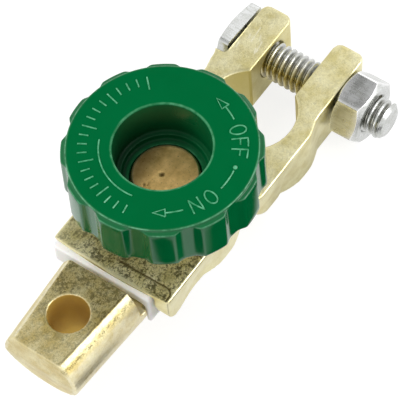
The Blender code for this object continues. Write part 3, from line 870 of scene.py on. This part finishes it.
def mark_strokes():
    """The raised marks on the knob's face: ON and OFF with their arrows, a plain scale of ticks, an arc."""
    strokes = []
    for letter, angle in (("O", -42.5), ("F", -53.3), ("F", -62.6), ("O", -106.3), ("N", -119.0)):
        for line in LETTERS[letter]:
            strokes.append([around_face(angle, MARK_CIRCLE, v, u) for u, v in dense(line)])
    for tail, base, tip in ((-32.5, -19.5, -9.5), (-129.0, -142.2, -151.5)):
        strokes.append([around_face(a, MARK_CIRCLE) for a in np.linspace(tail, base, 12)])
        head = ((base, 0.8), (tip, 0.0), (base, -0.8), (base, 0.8))
        strokes.append([around_face(a, MARK_CIRCLE, v) for a, v in head])
    strokes.append([around_face(a, MARK_CIRCLE) for a in np.linspace(-78.5, -96.0, 12)])
    for count, angle in enumerate(np.arange(SCALE_START, SCALE_END, SCALE_STEP)):
        inner_end = -0.4 if count % TICKS_PER_LONG_ONE else -1.5
        strokes.append([around_face(angle, MARK_CIRCLE, v) for v in (inner_end, 1.4)])
    strokes.append([around_face(a, ARC_RADIUS) for a in np.linspace(ARC_START, ARC_END, 40)])
    return strokes


def marks_piece():
    """The strokes as round bars sunk halfway into the face, with the dot between the two words."""
    data = bpy.data.curves.new("marks", "CURVE")
    data.dimensions = "3D"
    data.bevel_depth = 0.5 * MARK_THICKNESS * MM
    data.bevel_resolution = 3
    data.use_fill_caps = True
    for stroke in mark_strokes():
        spline = data.splines.new("POLY")
        spline.points.add(len(stroke) - 1)
        for point, spot in zip(spline.points, stroke):
            point.co = (*[value * MM for value in spot], 1.0)
    carrier = bpy.data.objects.new("marks_carrier", data)
    bpy.context.scene.collection.objects.link(carrier)
    bpy.context.view_layer.update()
    mesh = bpy.data.meshes.new_from_object(carrier.evaluated_get(bpy.context.evaluated_depsgraph_get()))
    bpy.data.objects.remove(carrier)
    work = bmesh.new()
    work.from_mesh(mesh)
    centre = Matrix.Translation(Vector(around_face(DOT_ANGLE, MARK_CIRCLE)) * MM)
    bmesh.ops.create_uvsphere(work, u_segments=20, v_segments=10, radius=DOT_RADIUS * MM,
                              matrix=centre @ Matrix.Diagonal((1.0, 1.0, 0.6, 1.0)))
    work.to_mesh(mesh)
    work.free()
    finish_piece(mesh, "knob_marks", MARK, "green_plastic", "knob")


def stud_piece():
    """The stud: a faced round head with its centre mark, then a plain neck, thread and ring groove."""
    turn = full_turn(96)
    rows = []

    def ring(radius, z):
        rows.append(ring_of(turn, radius, z))

    ring(POINT_RADIUS, STUD_HEAD_TOP)
    for r in (*np.linspace(0.15, 2.0, 14), *np.linspace(2.2, STUD_HEAD_RADIUS - 0.5, 16)):
        ring(r, STUD_HEAD_TOP)
    for a in (15, 35, 55, 75, 90):
        a = math.radians(a)
        ring(STUD_HEAD_RADIUS - 0.4 + 0.4 * math.sin(a), STUD_HEAD_TOP - 0.4 + 0.4 * math.cos(a))
    for r, z in ((STUD_HEAD_RADIUS, STUD_HEAD_BOTTOM + 1.7), (STUD_HEAD_RADIUS, STUD_HEAD_BOTTOM + 0.3),
                 (STUD_HEAD_RADIUS - 0.3, STUD_HEAD_BOTTOM), (STUD_RADIUS + 0.3, STUD_HEAD_BOTTOM),
                 (STUD_RADIUS, STUD_HEAD_BOTTOM - 0.4)):
        ring(r, z)
    for z in np.arange(THREAD_START, GROOVE_HIGH, -0.15):
        phase = (z / STUD_PITCH - turn / (2 * math.pi)) % 1.0
        cut = np.clip(1.0 - np.abs(phase - 0.5) * 2.6, 0.0, 0.8)
        ring(STUD_RADIUS - 0.9 * cut * min(1.0, (THREAD_START - z) / 2.0), z)
    for r, z in ((STUD_RADIUS - 0.3, GROOVE_HIGH), (GROOVE_RADIUS, GROOVE_HIGH), (GROOVE_RADIUS, GROOVE_LOW),
                 (STUD_RADIUS, GROOVE_LOW), (STUD_RADIUS, STUD_END + 0.5), (STUD_RADIUS - 0.5, STUD_END),
                 (POINT_RADIUS, STUD_END)):
        ring(r, z)
    mesh = grid_mesh("stud", rows, False)
    points = vertices_of(mesh)
    x, y, z = points.T
    top = z > STUD_HEAD_TOP - 0.05
    pits = random.Random(7)
    dents = near(np.hypot(x - DIMPLE[0], y - DIMPLE[1]), 0.0, 0.42)
    for _ in range(9):
        angle = math.radians(pits.uniform(150, 250))
        reach = pits.uniform(3.6, 5.9)
        from_pit = np.hypot(x - reach * math.cos(angle), y - reach * math.sin(angle))
        dents = dents + 0.4 * near(from_pit, 0.0, 0.2)
    points[:, 2] -= 0.35 * dents * top
    set_vertices(mesh, points)
    far_side = 0.75 * ease((y - 0.15 * x - 0.2) / 5.5)
    carry(mesh, "shade", np.clip(dents * 1.1 - 0.15 + far_side, 0, 1) * top)
    rim = near(np.hypot(x, y), STUD_HEAD_RADIUS - 0.2, 0.25) * (z > STUD_HEAD_TOP - 0.35)
    carry(mesh, "wear_and_painted_light", 0.5 * rim)
    finish_piece(mesh, "stud_brass", TURNED, "turned_brass", "knob", "stud")


def on_bolt_axis(mesh):
    """Lays a piece made about its own Z axis along the clamp bolt, its Z towards the bolt's head."""
    place = Matrix.Translation((BOLT_X * MM, 0, BOLT_Z * MM)) @ Matrix.Rotation(math.radians(-90), 4, "X")
    mesh.transform(place)


def fold_angle(turn, sides):
    """Angle from the middle of the nearest side."""
    sector = 2 * math.pi / sides
    return np.abs((turn - math.radians(90) + sector / 2) % sector - sector / 2)


def prism_radius(turn, sides, flats, corner):
    """Radius of a regular prism with rounded corners."""
    sector = 2 * math.pi / sides
    half = flats / 2
    sharp = half / np.cos(fold_angle(turn, sides))
    limit = half / math.cos(sector / 2) - corner * (1 / math.cos(sector / 2) - 1)
    return sharp - 0.5 * (np.sqrt((sharp - limit) ** 2 + 0.0009) + sharp - limit) * (sharp > limit - 0.2)


def prism_rows(turn, outer, low, high, round_low, round_high, slope, hole=None):
    """Rows of a nut or a bolt head: flat sides, its ends chamfered by a cone that starts at round_low or
    round_high."""
    rows = []
    low_start, high_start = np.minimum(round_low, outer), np.minimum(round_high, outer)
    low_chamfer, high_chamfer = slope * (outer - low_start), slope * (outer - high_start)
    bottom, top = low + low_chamfer, high - high_chamfer
    if hole is None:
        rows.append(ring_of(turn, POINT_RADIUS, low))
    else:
        rows.append(ring_of(turn, hole, low + 0.5))
        rows.append(ring_of(turn, hole + 0.45, low))
    for share in CHAMFER_SHARES:
        rows.append(ring_of(turn, low_start + (outer - low_start) * share, low + low_chamfer * share))
    for share in SIDE_SHARES:
        rows.append(ring_of(turn, outer, bottom + (top - bottom) * share))
    for share in reversed(CHAMFER_SHARES):
        rows.append(ring_of(turn, high_start + (outer - high_start) * share, high - high_chamfer * share))
    if hole is None:
        rows.append(ring_of(turn, POINT_RADIUS, high))
    else:
        rows.append(ring_of(turn, hole + 0.45, high))
        rows.append(ring_of(turn, hole, high - 0.5))
    return rows


def bevelled(mesh):
    """The prism with its sharp edges narrowly rounded."""
    return with_modifier(mesh, "BEVEL", width=PRISM_EDGE * MM, segments=3, limit_method="ANGLE",
                         angle_limit=math.radians(20))


def nut_edges(mesh):
    """Marks the nut's corners and the rims of its chamfers as bright."""
    x, y, z = vertices_of(mesh).T
    turn = np.arctan2(y, x)
    outer = prism_radius(turn, 6, NUT_FLATS, NUT_CORNER)
    rim = NUT_SLOPE * (outer - NUT_ROUND)
    from_rim = np.minimum(np.abs(z - NUT_OUTER - rim), np.abs(NUT_INNER - rim - z))
    from_corner = outer * np.sin(math.radians(30) - fold_angle(turn, 6))
    side = np.hypot(x, y) > outer - 0.3
    carry(mesh, "wear_and_painted_light", 0.9 * near(np.minimum(from_rim, from_corner), 0.0, 0.22) * side)


def nut_piece():
    """Hexagonal nut, with a painted gold reflection of the hood on the sides that face back towards it."""
    turn = full_turn(180)
    outer = prism_radius(turn, 6, NUT_FLATS, NUT_CORNER)
    rows = prism_rows(turn, outer, NUT_OUTER, NUT_INNER, NUT_ROUND, NUT_ROUND, NUT_SLOPE, BOLT_RADIUS + 0.06)
    mesh = bevelled(grid_mesh("nut", rows, True))
    nut_edges(mesh)
    mesh.transform(Matrix.Rotation(math.radians(NUT_TURN), 4, "Z"))
    on_bolt_axis(mesh)
    normals = normals_of(mesh)
    # Painted reflection of the brass hood on the nut's sides that face it
    carry(mesh, "inside", 0.42 * ease(-normals[:, 0] * 1.6 - 0.3) * (np.abs(normals[:, 1]) < 0.4))
    finish_piece(mesh, "clamp_nut_zinc", ZINC, "zinc_plate", "nut", "clamp_nut", sharp=50)


def thread_rows():
    """The bolt's shank from its tip to the head, with its thread."""
    turn = full_turn(64)
    rows = [ring_of(turn, 3.0, BOLT_TIP)]
    depth = 0.61 * BOLT_PITCH
    for z in np.arange(BOLT_TIP + 0.02, HEAD_INNER + 0.4, BOLT_PITCH / 12):
        phase = (z / BOLT_PITCH - turn / (2 * math.pi)) % 1.0
        cut = ease(np.clip(np.abs(phase - 0.5) * 2.5 - 0.12, 0.0, 1.0)) * depth
        fade = np.clip((HEAD_INNER - 0.6 - z) / 1.2, 0.0, 1.0) * ease((z - BOLT_TIP - 0.4) / 0.8)
        rows.append(ring_of(turn, np.minimum(BOLT_RADIUS - cut * fade, 3.05 + (z - BOLT_TIP) * 1.1), z))
    return rows


def bolt_piece():
    """Square head and a shank with its real helical thread."""
    turn = full_turn(128)
    outer = prism_radius(turn, 4, HEAD_SIDE, HEAD_CORNER)
    rows = prism_rows(turn, outer, HEAD_INNER, HEAD_OUTER, NO_CHAMFER, HEAD_ROUND, HEAD_SLOPE)
    head = grid_mesh("bolt_head", rows, False)
    head.transform(Matrix.Rotation(math.radians(HEAD_TURN), 4, "Z"))
    head = bevelled(head)
    shank = grid_mesh("bolt_shank", thread_rows(), False)
    work = bmesh.new()
    work.from_mesh(head)
    work.from_mesh(shank)
    joined = bpy.data.meshes.new("bolt")
    work.to_mesh(joined)
    work.free()
    points = vertices_of(joined)
    radius = np.hypot(points[:, 0], points[:, 1])
    on_shank = (radius < BOLT_RADIUS + 0.05) & (points[:, 2] < HEAD_INNER)
    root = ease((BOLT_RADIUS - 0.2 - radius) / 0.45) * on_shank * (points[:, 2] > BOLT_TIP + 1.0)
    # Painted reflection of the brass on the thread's -X side
    brass_reflection = ease(-points[:, 0] / 3.2 + 0.15) * on_shank * (np.abs(points[:, 2]) < 7.0)
    carry(joined, "shade", 0.5 * root)
    carry(joined, "inside", 0.65 * brass_reflection)
    on_bolt_axis(joined)
    finish_piece(joined, "clamp_bolt_zinc", ZINC, "zinc_plate", "bolt", "clamp_bolt", sharp=55)


def cap_piece():
    """A cup with a shallow dimple in its underside."""
    inside = [(POINT_RADIUS, CAP_FLOOR, 0), (CAP_INNER, CAP_FLOOR, 0.4), (CAP_INNER, CAP_TOP, 0.2)]
    outside = [(CAP_RADIUS, CAP_TOP, 0.3), (CAP_RADIUS, 0.0, 0.9)]
    dimple = [(CAP_DIMPLE, 0.0, 0.15), (CAP_DIMPLE - 0.2, CAP_DIMPLE_DEPTH, 0.15),
              (POINT_RADIUS, CAP_DIMPLE_DEPTH, 0)]
    mesh = lathe("cap", rounded_profile(inside + outside + dimple))
    finish_piece(mesh, "bottom_cap_nylon", NYLON, "white_nylon", "housing", "bottom_cap", sharp=45)


def washer_piece():
    profile = rounded_profile([(WASHER_BORE, WASHER_TOP, 0.15), (WASHER_RADIUS, WASHER_TOP, 0.45),
                               (WASHER_RADIUS, WASHER_BOTTOM, 0.45), (WASHER_BORE, WASHER_BOTTOM, 0.15)])
    mesh = lathe("washer", profile)
    finish_piece(mesh, "contact_washer_brass", TURNED, "turned_brass", "contact", "contact_washer", sharp=45)


def dress_hidden_nodes():
    """The sleeve and the retaining ring keep their solids and take the same materials."""
    for name, surface in (("insulating_sleeve", NYLON), ("retaining_ring", SPRING)):
        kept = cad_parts[name]
        kept.data.materials.clear()
        kept.data.materials.append(surface)


def camera():
    data = bpy.data.cameras.new("photo_camera")
    data.lens = LENS
    data.sensor_width = 36.0
    data.clip_start = 0.01
    data.clip_end = 20.0
    made = bpy.data.objects.new("photo_camera", data)
    bpy.context.scene.collection.objects.link(made)
    axes = Matrix((CAMERA_RIGHT, CAMERA_UP, CAMERA_BACK)).transposed().to_4x4()
    made.matrix_world = Matrix.Translation(Vector(CAMERA_PLACE) * MM) @ axes
    bpy.context.scene.camera = made


def area_lamp(name, direction, distance, size, watts, aim=(5.0, 0.0, 12.0), mirrored=True):
    """A round lamp. Its distance and size are in metres, and mirrored says whether metal reflects it."""
    data = bpy.data.lights.new(name, "AREA")
    data.shape = "DISK"
    data.size = size
    data.energy = watts
    made = bpy.data.objects.new(name, data)
    made.visible_glossy = mirrored
    bpy.context.scene.collection.objects.link(made)
    away = Vector(direction).normalized()
    made.location = Vector(aim) * MM + away * distance
    made.rotation_euler = away.to_track_quat("Z", "Y").to_euler()


def light_paths(tree):
    """Whether a ray comes from the camera, from a mirror-like surface, or from neither."""
    path = node(tree, "LightPath")
    camera_ray = maths(tree, "MAXIMUM", path.outputs["Is Camera Ray"], path.outputs["Is Transmission Ray"])
    mirror_ray = path.outputs["Is Glossy Ray"]
    other = maths(tree, "SUBTRACT", 1.0, maths(tree, "MAXIMUM", camera_ray, mirror_ray))
    return camera_ray, mirror_ray, other


def studio_world():
    """White to the camera. Mirror-like surfaces see a sky that is dim overhead, with a dark patch where the
    camera's own side is reflected from level faces."""
    world = bpy.data.worlds.new("studio")
    bpy.context.scene.world = world
    world.use_nodes = True
    tree = world.node_tree
    tree.nodes.clear()
    camera_ray, mirror_ray, other = light_paths(tree)
    way = node(tree, "TexCoord").outputs["Generated"]
    height = node(tree, "SeparateXYZ", {"Vector": way}).outputs["Z"]
    toward = node(tree, "VectorMath", {0: way, 1: DARK_PATCH}, operation="DOT_PRODUCT").outputs["Value"]
    patch = ramp(tree, toward, math.cos(math.radians(13)), math.cos(math.radians(6)), 1.0, 0.0)
    sky = times(tree, ramp(tree, height, 0.55, 0.97, 1.0, SKY_TOP), patch)
    strength = summed(tree, camera_ray, times(tree, mirror_ray, sky), times(tree, other, SKY_DIFFUSE))
    backdrop = node(tree, "Background", {"Color": WHITE, "Strength": strength})
    node(tree, "OutputWorld", {"Surface": backdrop.outputs[0]})


def floor_card(tree):
    """1 on the part of the floor that a dark card covers for mirror-like surfaces."""
    spot = node(tree, "SeparateXYZ", {"Vector": place_of(tree)})
    covers = []
    for sides in CARDS:
        cover = 1.0
        for axis, begins, full in sides:
            cover = times(tree, ramp(tree, spot.outputs[axis], begins * MM, full * MM), cover)
        covers.append(cover)
    return maths(tree, "MAXIMUM", *covers)


def under_ring(tree):
    """1 on the part of the floor that the clamp's ring keeps in its own shade, which is painted there for
    mirror-like surfaces.
    """
    offset = node(tree, "VectorMath", {0: place_of(tree), 1: (-BORE_X * MM, 0.0, 0.0)}, operation="ADD")
    reach = node(tree, "VectorMath", {0: offset.outputs[0]}, operation="LENGTH").outputs["Value"]
    return times(tree, ramp(tree, reach, 9.5 * MM, 11.5 * MM), ramp(tree, reach, 19.0 * MM, 14.5 * MM))


def floor_piece():
    """A floor that is white to the camera, keeps the part's shadow, and is dimmer in mirror-like surfaces."""
    mesh = bpy.data.meshes.new("floor")
    reach = FLOOR_REACH * MM
    corners = [(reach * x, reach * y, 0) for x, y in ((-1, -1), (1, -1), (1, 1), (-1, 1))]
    mesh.from_pydata(corners, [], [(0, 1, 2, 3)])
    floor = bpy.data.objects.new("floor", mesh)
    floor.location.z = -FLOOR_DROP * MM
    bpy.context.scene.collection.objects.link(floor)
    surface, tree, _ = new_surface("floor")
    tree.nodes.clear()
    camera_ray, mirror_ray, _ = light_paths(tree)
    covered = times(tree, floor_card(tree), mirror_ray)
    mirrored = ramp(tree, under_ring(tree), 0.0, 1.0, FLOOR_MIRRORED, 0.5 * FLOOR_MIRRORED)
    lit = times(tree, maths(tree, "SUBTRACT", mirror_ray, covered), mirrored)
    glow = summed(tree, times(tree, camera_ray, FLOOR_GLOW), lit)
    grey = blend_colour(tree, covered, (FLOOR_MATT, FLOOR_MATT, FLOOR_MATT, 1.0), BLACK)
    matt = node(tree, "BsdfDiffuse", {"Color": grey})
    shine = node(tree, "Emission", {"Color": WHITE, "Strength": glow})
    both = node(tree, "AddShader", {0: matt.outputs[0], 1: shine.outputs[0]})
    node(tree, "OutputMaterial", {"Surface": both.outputs[0]})
    mesh.materials.append(surface)


def stage():
    studio_world()
    floor_piece()
    area_lamp("key", (-0.50, 0.80, 0.75), 0.60, 0.25, 2.0, mirrored=False)
    area_lamp("front_fill", (0.40, -0.85, 0.40), 0.60, 0.40, 1.8)
    area_lamp("left_fill", (-0.9, -0.25, 0.35), 0.60, 0.35, 0.42)
    area_lamp("ear_light", (0.62, 0.20, 0.76), 0.30, 0.12, 0.05, (44.0, 0.0, 13.0))
    bpy.context.scene.view_settings.view_transform = "Standard"


camera()
clamp_piece()
post_piece()
insulator_piece()
knob_piece()
marks_piece()
stud_piece()
nut_piece()
bolt_piece()
cap_piece()
washer_piece()
dress_hidden_nodes()
stage()
